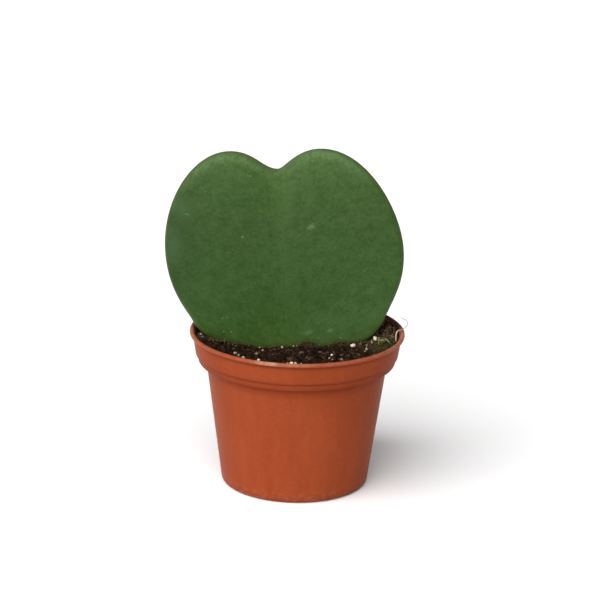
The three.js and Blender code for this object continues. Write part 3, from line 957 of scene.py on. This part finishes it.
def makeSoilBed(material):
    spokes = soil["spokes"]
    rings = soil["rings"]
    verts = []
    # radius and height of the buried outside, a little clear of the pot
    below = [
        (pot["pad"] - 0.2, pot["floorTop"] - pot["recess"] + 0.1),
        (pot["pad"] + pot["recess"], pot["floorTop"] + 0.1),
        (pot["foot"] - 0.3, pot["floorTop"] + 0.1),
        (pot["bodyFoot"] - pot["wall"] - 0.1, pot["bodyFootHeight"] + 2),
        (pot["step"] - pot["wall"] - 0.15, pot["stepHeight"] - 0.5),
        (pot["ring"] - pot["wall"] - 0.75, pot["stepHeight"] + 1.8),
        (innerRadius(pot["bandFootHeight"]) - 0.15, pot["bandFootHeight"] + 0.4),
    ]
    for radius, height in below:
        verts += ringPoints(radius, height, spokes)
    for ring in range(rings):
        share = 1 - ring / rings
        for spoke in range(spokes):
            angle = 2 * math.pi * spoke / spokes
            radius = (innerRadius(soil["level"]) - soil["wallGap"]) * share
            x, y = onCircle(radius, angle)
            height = soilSurface(x, y)
            if ring == 0:
                height -= 0.5 + 0.5 * noise.noise(Vector((x * 0.5, y * 0.5, 4)))
                radius = innerRadius(height) - soil["wallGap"]
                x, y = onCircle(radius, angle)
            verts.append((x, y, height))
    ringCount = len(below) + rings
    faces = gridFaces(ringCount, spokes)
    verts += [(0, 0, pot["floorTop"] - pot["recess"] + 0.1), (0, 0, soilSurface(0, 0))]
    faces += capFaces(spokes, 0, len(verts) - 2, True)
    faces += capFaces(spokes, (ringCount - 1) * spokes, len(verts) - 1)
    tones = [0.5 + 0.5 * noise.noise(Vector(v) * 0.6) for v in verts]
    newPiece("soil_bed", verts, faces, material, "potting_soil", "soil", tone=tones)


def leafPlaneY(height):
    # middle of the blade at this height
    lean = math.tan(math.radians(leaf["leanBack"]))
    return leaf["base"][1] - leaf["dome"] * 0.35 + (height - leaf["base"][2]) * lean


def clearOfLeaf(x, y, size):
    fromLeaf = abs(y - leafPlaneY(soil["level"]))
    return abs(x + 4) > 37 or fromLeaf > leaf["thickness"] / 2 + 0.7 * size


def onSurface(draw, size):
    # a random place on the surface with room for a lump of this radius
    while True:
        radius = (innerRadius(soil["level"]) - 0.3 - size) * math.sqrt(draw.random())
        x, y = onCircle(radius, draw.uniform(0, 2 * math.pi))
        if clearOfLeaf(x, y, size):
            return x, y


def anyTurn(draw):
    return Vector([draw.uniform(-1, 1) for axis in range(3)]).to_track_quat("Z", "Y")


def flatTurn(spin, tip):
    # tipped a little, then turned on the spot
    turn, tilt = (Matrix.Rotation(angle, 3, axis).to_quaternion()
                  for angle, axis in ((spin, "Z"), (tip, "X")))
    return turn @ tilt


def makeCrumbs(name, sizes, material):
    draw = random.Random(soil["crumbSeed"])
    shapes = []
    for count, smallest, largest, roundness in sizes:
        kinds = lumpShapes(roundness, 14, roundness, 1.15, 1.7)
        for lump in range(count):
            size = draw.uniform(smallest, largest)
            x, y = onSurface(draw, size)
            stretch = [size * draw.uniform(*reach) for reach in soil["crumbStretch"]]
            place = (x, y, soilSurface(x, y) + size * draw.uniform(-0.2, 0.4))
            tone = draw.random() ** 1.5 + 0.03 + 0.6 * smoothStep(x, 18, 34)
            tone += 0.5 * smoothStep(x, 30, 38) * smoothStep(y, -6, 4)
            shapes.append((*placed(draw.choice(kinds), stretch, place, anyTurn(draw)), tone))
    newCluster(name, shapes, material, "potting_soil")


def makeFootCrumbs(material):
    # soil pressed up against both faces of the blade, in small heaps
    draw = random.Random(soil["crumbSeed"] + 1)
    kinds = lumpShapes(6, 12, 2, 0.8, 1.4)
    shapes = []
    for face in (-1, 1):
        for crumb in range(soil["footCrumbs"]):
            x = draw.uniform(*soil["footReach"])
            size = draw.uniform(*soil["footRadius"])
            y = leafPlaneY(soil["level"]) + face * (leaf["thickness"] / 2 + draw.uniform(0, 0.9))
            heap = 0.4 * max(0.0, fractal(x * 0.16, face * 3.0, 0.4, 2))
            place = (x, y, soilSurface(x, y) + heap * draw.random() - 0.1 * size)
            stretch = [size, size * 0.8, size * 0.75]
            lump = placed(draw.choice(kinds), stretch, place, anyTurn(draw))
            shapes.append((*lump, draw.random() * 0.7))
    newCluster("soil_foot_crumbs", shapes, material, "potting_soil")


def makeFibres(material):
    # coir and hair roots that lie over the crumbs
    draw = random.Random(soil["fibreSeed"])
    shapes = []
    for count in range(soil["fibres"]):
        x, y = onSurface(draw, 1.5)
        heading = draw.uniform(0, 2 * math.pi)
        length = draw.uniform(*soil["fibreLength"])
        bend = draw.uniform(-soil["fibreBend"], soil["fibreBend"])
        arch = draw.uniform(*soil["fibreArch"])
        steps = 9
        route = []
        for step in range(steps + 1):
            if math.hypot(x, y) > innerRadius(soil["level"]) - 0.6 or not clearOfLeaf(x, y, 0.4):
                break
            lift = 0.25 + arch * math.sin(math.pi * step / steps)
            route.append((x, y, soilSurface(x, y) + lift))
            x += length / steps * math.cos(heading)
            y += length / steps * math.sin(heading)
            heading += bend
        if len(route) < 4:
            continue
        thick = draw.uniform(*soil["fibreRadius"])
        radii = [thick * (1 - 0.5 * k / len(route)) for k in range(len(route))]
        shapes.append((*tubeShape(route, radii, 5), 0.8 * draw.random() ** 2))
    newCluster("soil_fibres", shapes, material, "root_pale")


def makeBark(material):
    draw = random.Random(soil["barkSeed"])
    kinds = lumpShapes(9, 8, 2, 0.9, 1.3)
    chips = list(soil["chips"])
    for count in range(soil["barkChips"]):
        size = draw.uniform(*soil["barkRadius"])
        chips.append((*onSurface(draw, size), size, draw.random()))
    shapes = []
    for x, y, size, tone in chips:
        turn = flatTurn(draw.uniform(0, math.pi), draw.uniform(-0.5, 0.5))
        place = (x, y, soilSurface(x, y) + 0.3)
        stretch = [size, size * draw.uniform(0.3, 0.6), 0.25 + 0.2 * size]
        shapes.append((*placed(draw.choice(kinds), stretch, place, turn), tone))
    newCluster("soil_bark_chips", shapes, material, "potting_soil")


def makePerlite(material):
    draw = random.Random(soil["perliteSeed"])
    kinds = lumpShapes(13, 9, 3, 0.85, 1.9)
    grains = []
    for x, y, size, shade in soil["grains"]:
        grains.append(((x, y, soilSurface(x, y) + 0.3 * size + 0.3), size, shade))
    for bearing, size, shade in soil["lipGrains"]:
        # resting on the lip's rounding, sunk by nearly half
        reach = pot["lipRound"] + 0.55 * size
        inwards, upwards = onCircle(reach, math.radians(soil["lipBearing"]))
        place = onCircle(pot["lipOuter"] - pot["lipRound"] - inwards, math.radians(bearing))
        grains.append(((*place, pot["height"] - pot["lipRound"] + upwards), size, shade))
    while len(grains) < len(soil["grains"]) + len(soil["lipGrains"]) + soil["hiddenGrains"]:
        size = draw.uniform(*soil["grainRadius"])
        x, y = onSurface(draw, size)
        if y > 5 and x < 22:
            grains.append(((x, y, soilSurface(x, y) + 0.5 * size), size, draw.uniform(0.4, 1)))
    shapes = []
    for place, size, shade in grains:
        stretch = [size * draw.uniform(*reach) for reach in soil["grainStretch"]]
        turn = flatTurn(math.atan2(place[1], place[0]) + math.pi / 2, draw.uniform(-0.4, 0.4))
        shapes.append((*placed(draw.choice(kinds), stretch, place, turn), shade))
    newCluster("perlite_grains", shapes, material, "potting_soil")


def peatSoil():
    # moist peat: nearly black hollows, browner dry crumbs, no sheen but a faint damp glint
    m, add, spot, fine, colour = grainyMaterial(
        "peat potting soil, moist", 0.8, 5.0, 0.7, 1.0, 0.5, soil["colours"])
    # algae that tints the peat round the seedling and along the foot of the blade
    place, reach = ([length * mm for length in lengths] for lengths in soil["algaeSpot"])
    local = add("Mapping", (spot, place, (0, 0, 0), reach), vector_type="TEXTURE")
    away = add("VectorMath", (local,), "LENGTH", out="Value")
    fringe = add("Math", (fine, 1.5, away), "MULTIPLY_ADD")
    algae = add("MapRange", (fringe, 0.9, 2.0, soil["algaeStrength"], 0.0))
    back = add("SeparateXYZ", (spot,), out="Y")
    fromBlade = add("Math", (back, leafPlaneY(soil["level"]) * mm), "SUBTRACT")
    fromBlade = add("Math", (fromBlade,), "ABSOLUTE")
    film = add("MapRange", (fromBlade, *[reach * mm for reach in soil["filmReach"]], 0.7, 0.0))
    film = add("Math", (film, fine), "MULTIPLY")
    algae = add("Math", (algae, film), "MAXIMUM")
    colour = add("Mix", {0: algae, 6: colour, 7: soil["algae"]}, data_type="RGBA", out=2)
    bump = add("Bump", {"Height": fine, "Strength": 0.8, "Distance": 0.25 * mm})
    skin = add("BsdfPrincipled", {
        "Base Color": colour, "Roughness": 0.85, "IOR": 1.4, "Normal": bump,
        "Specular IOR Level": 0.12})
    add("OutputMaterial", (skin,))
    return m


def barkSkin():
    # composted bark: flat chips, red-brown to grey where they have dried
    m, add, _, grain, colour = grainyMaterial(
        "composted bark, weathered", 0.5, 4.0, 0.5, 0.6, 0.6, soil["barkColours"])
    bump = add("Bump", {"Height": grain, "Strength": 0.6, "Distance": 0.15 * mm})
    skin = add("BsdfPrincipled", {"Base Color": colour, "Roughness": 0.7, "Normal": bump})
    add("OutputMaterial", (skin,))
    return m


def perliteSkin():
    # expanded volcanic glass: chalky white, pitted, stained cream by the peat
    m, add, spot, _, colour = grainyMaterial(
        "perlite, chalky expanded glass", 1.1, 4.0, 0.65, 1.0, 0.6, soil["perliteColours"])
    pits = add("TexVoronoi", {"Vector": spot, "Scale": perMetre(0.45)})
    bump = add("Bump", {"Height": pits, "Strength": 0.6, "Distance": 0.12 * mm})
    skin = add("BsdfPrincipled", {
        "Base Color": colour, "Roughness": 0.8, "Normal": bump, "Subsurface Weight": 0.15,
        "Subsurface Radius": (1.0, 0.9, 0.7), "Subsurface Scale": 0.5 * mm})
    add("OutputMaterial", (skin,))
    return m


def fibreSkin():
    # dry coir and hair roots: straw to reddish brown, matt
    m, add = newMaterial("coir fibre, dry")
    tone = add("Attribute", attribute_name="tone", out="Fac")
    colour = add("ValToRGB", (tone,), stops=soil["fibreColours"])
    skin = add("BsdfPrincipled", {"Base Color": colour, "Roughness": 0.75})
    add("OutputMaterial", (skin,))
    return m


for grown in leafPieces:
    # height of each point over the soil, for the soiled foot of the blade
    heights = [v.co.z / mm - soilSurface(v.co.x / mm, v.co.y / mm) for v in grown.data.vertices]
    addValues(grown, "above", heights)
peat = peatSoil()
makeSoilBed(peat)
makeCrumbs("soil_crumbs", soil["crumbSizes"], peat)
makeCrumbs("soil_clods", soil["clodSizes"], peat)
makeFootCrumbs(peat)
makeBark(barkSkin())
makeFibres(fibreSkin())
makePerlite(perliteSkin())
print("soil filled and strewn")


roots = {
    "callusRadius": 3.4,
    "count": 6,
    "radius": 0.6,
    "hairSeed": 61,
    "hairSteps": (0, 1.2, 2.6, 4.2),
    "hairRadii": (0.16, 0.13, 0.09, 0.04),
    # the dry root at the wall, mm, a little more crooked than the solid
    "strandRoute": [
        (40.2, -4.6, 56.8), (40.6, -4.8, 60.3), (40.8, -4.8, 63.2), (40.8, -4.3, 65.5),
        (41.5, -3.2, 66.8), (43.3, -1.2, 66.9), (45.1, 0, 67.8), (45.55, 1, 69.3),
        (44.6, 1.5, 70.2), (42.8, 2, 70.9)],
    "strandRadius": 0.26,
    "strandTaper": 0.155,
    "colours": [(0.1, "#635e58"), (0.45, "#816c59"), (0.9, "#a5907b"), (1.0, "#b6a390")],
}


def rootRoute(root):
    # the same spread as the solid's roots, in the leaf's own plane
    angle = (root + 0.3 * math.sin(7 * root)) / roots["count"] * 2 * math.pi
    reach = 15 + 3 * math.cos(5 * root)
    points = []
    for out, down in ((0, -1), (0.35, -4), (0.7, -11), (0.95, -20), (1, -29)):
        bend = angle + 0.5 * out
        away = 1.5 + reach * out
        points.append((*onCircle(away, bend), down - leaf["petioleLength"]))
    return smoothRoute(points, 7)


def makeRoots(material):
    # callus round the cut petiole, tapering roots and fine side roots
    draw = random.Random(roots["hairSeed"])
    ball, ballFaces = lumpShapes(17, 1, 4, 0.12, 1.8)[0]
    size = roots["callusRadius"] * 0.97
    shapes = [(ball * size + np.array((0, 0, -leaf["petioleLength"])), ballFaces, 0.7)]
    for root in range(roots["count"]):
        route = rootRoute(root)
        taper = [roots["radius"] * (1.0 - 0.75 * k / len(route)) for k in range(len(route))]
        shapes.append((*tubeShape(route, taper, 12), draw.random()))
        for index in range(6, len(route) - 3, 3):
            start = np.array(route[index])
            heading = np.array([draw.uniform(-1, 1), draw.uniform(-1, 1), draw.uniform(-0.8, 0.1)])
            side = [start + heading * t * draw.uniform(0.9, 1.1) for t in roots["hairSteps"]]
            shapes.append((*tubeShape(side, roots["hairRadii"], 6), draw.random()))
    newCluster("roots_fine", shapes, material, "root_pale", "roots", poseLeaf)


def makeStrand(material):
    # wiry, thickest where it leaves the soil and drying to a dark hair in the curl
    route = smoothRoute(roots["strandRoute"], 8)
    count = len(route)
    sides = 14
    radii = []
    tones = []
    for k in range(count):
        share = k / (count - 1)
        wobble = 1 + 0.15 * noise.noise(Vector((k * 0.35, 2.0, 0.0)))
        taper = roots["strandTaper"] * smoothStep(share, 0.35, 0.75)
        radii.append((roots["strandRadius"] - taper) * wobble)
        tones += [0.75 - 0.95 * smoothStep(share, 0.45, 0.7)] * sides
    verts, faces = tubeShape(route, radii, sides)
    tones += [tones[0], tones[-1]]
    newPiece("root_strand_dry", verts, faces, material, "root_pale", "root_strand", tone=tones)


def rootSkin():
    # root bark: dull cream with tan streaks along the root
    m, add, _, streak, colour = grainyMaterial(
        "root, dry cream", 1.2, 4.0, 0.5, 0.6, 1.0, roots["colours"])
    bump = add("Bump", {"Height": streak, "Strength": 0.4, "Distance": 0.08 * mm})
    skin = add("BsdfPrincipled", {
        "Base Color": colour, "Roughness": 0.65, "Normal": bump, "Subsurface Weight": 0.2,
        "Subsurface Radius": (1.0, 0.8, 0.5), "Subsurface Scale": 0.5 * mm})
    add("OutputMaterial", (skin,))
    return m


moss = {
    # a seedling: broad seed leaves round a bud, a blade arched over and bare stalks, mm
    "sprig": (35.0, -9.9),
    "budSize": (1.0, 0.7, 0.85),
    # turn, length, width, rise and tone
    "leaflets": [
        (-2.5, 1.7, 1.5, 0.5, 0.35), (-0.7, 1.7, 1.4, 0.5, 0.55), (-1.6, 1.4, 1.4, 0.9, 0.75),
        (2.3, 1.8, 1.2, 1.1, 0.0), (0.6, 2.0, 1.2, 0.9, 0.05)],
    "blade": [
        (35.6, -9.3, 64.9), (36.2, -9.5, 65.3), (37.0, -9.9, 65.0), (37.7, -10.4, 64.4),
        (38.2, -10.8, 63.6)],
    # foot, height and thickness
    "stalks": [
        ((33.6, -10.4, 63.2), 3.1, 0.22), ((30.7, -6.9, 62.6), 1.3, 0.2),
        ((28.6, -14.1, 62.8), 1.7, 0.16)],
    "tuftSeed": 71,
    "tufts": 60,
    "tuftReach": (-36, 30),
    "colours": [
        (0.0, "#2a2a12"), (0.35, "#3d401c"), (0.5, "#666930"), (0.75, "#545b36"), (1.0, "#86886e")],
}


def leaflet(length, width, turn, rise, place):
    # a small cupped blade with thickness
    verts = []
    steps = 8
    for side in (1, -1):
        for k in range(steps + 1):
            t = k / steps
            half = width / 2 * math.sin(math.pi * min(0.98, max(0.02, t)) ** 0.8)
            for across in (-1, -0.5, 0, 0.5, 1):
                lift = rise * length * t * (1.2 - 0.6 * t) + 0.15 * width * across ** 2
                verts.append((t * length * math.cos(math.atan(rise * 0.6)), across * half,
                              lift + side * 0.06 * (1 - across ** 2) * (1 - t) + side * 0.015))
    faces = []
    row = 5
    size = (steps + 1) * row
    for k in range(steps):
        for a in range(row - 1):
            quad = [k * row + a + corner for corner in (0, row, row + 1, 1)]
            faces += [quad, [index + size for index in quad[::-1]]]
    border = [k * row for k in range(steps + 1)] + [steps * row + a for a in range(1, row)]
    border += [k * row + row - 1 for k in range(steps - 1, -1, -1)] + list(range(row - 2, 0, -1))
    for here, there in zip(border, border[1:] + border[:1]):
        faces.append((there, here, here + size, there + size))
    matrix = np.array(Matrix.Rotation(turn, 3, "Z"))
    return np.array(verts) @ matrix.T + np.array(place), faces


def makeMoss(material):
    x, y = moss["sprig"]
    ground = soilSurface(x, y)
    shapes = []
    for turn, length, width, rise, tone in moss["leaflets"]:
        shapes.append((*leaflet(length, width, turn, rise, (x, y, ground + 0.5)), tone))
    bud = lumpShapes(5, 1, 3, 0.35, 1.2)[0]
    upright = Matrix.Identity(3).to_quaternion()
    shapes.append((*placed(bud, moss["budSize"], (x, y, ground + 0.9), upright), 0.5))
    bladeRoute = smoothRoute(moss["blade"], 5)
    last = len(bladeRoute) - 1
    swell = [0.12 + 0.3 * math.sin(math.pi * k / last) for k in range(last + 1)]
    shapes.append((*tubeShape(bladeRoute, swell, 8), 0.75))
    for foot, height, thick in moss["stalks"]:
        top = (foot[0] + 0.1, foot[1] + 0.1, foot[2] + height)
        stalk = [Vector(foot).lerp(top, k / 8) for k in range(9)]
        shapes.append((*tubeShape(stalk, [thick * (1 - 0.04 * k) for k in range(9)], 8), 1.0))
    draw = random.Random(moss["tuftSeed"])
    for tuft in range(moss["tufts"]):
        x = draw.uniform(*moss["tuftReach"])
        y = leafPlaneY(soil["level"]) - leaf["thickness"] / 2 - draw.uniform(0.2, 1.6)
        place = (x, y, soilSurface(x, y) + 0.5)
        for blade in range(5):
            turn = blade * 1.26 + draw.random()
            size = draw.uniform(0.5, 1.0)
            shape = leaflet(size, size * 0.4, turn, draw.uniform(0.3, 1.1), place)
            shapes.append((*shape, draw.uniform(0.0, 0.4)))
    newCluster("moss_and_seedling", shapes, material, "leaf_green")


def mossSkin():
    # tiny soft leaves, yellow-green and a little see-through
    m, add = newMaterial("moss, soft green")
    tone = add("Attribute", attribute_name="tone", out="Fac")
    colour = add("ValToRGB", (tone,), stops=moss["colours"])
    skin = add("BsdfPrincipled", {
        "Base Color": colour, "Roughness": 0.55, "Subsurface Weight": 0.3,
        "Subsurface Radius": (0.5, 1.0, 0.2), "Subsurface Scale": 0.4 * mm})
    add("OutputMaterial", (skin,))
    return m


dryRoot = rootSkin()
makeRoots(dryRoot)
makeStrand(dryRoot)
makeMoss(mossSkin())
print("roots and moss in place")
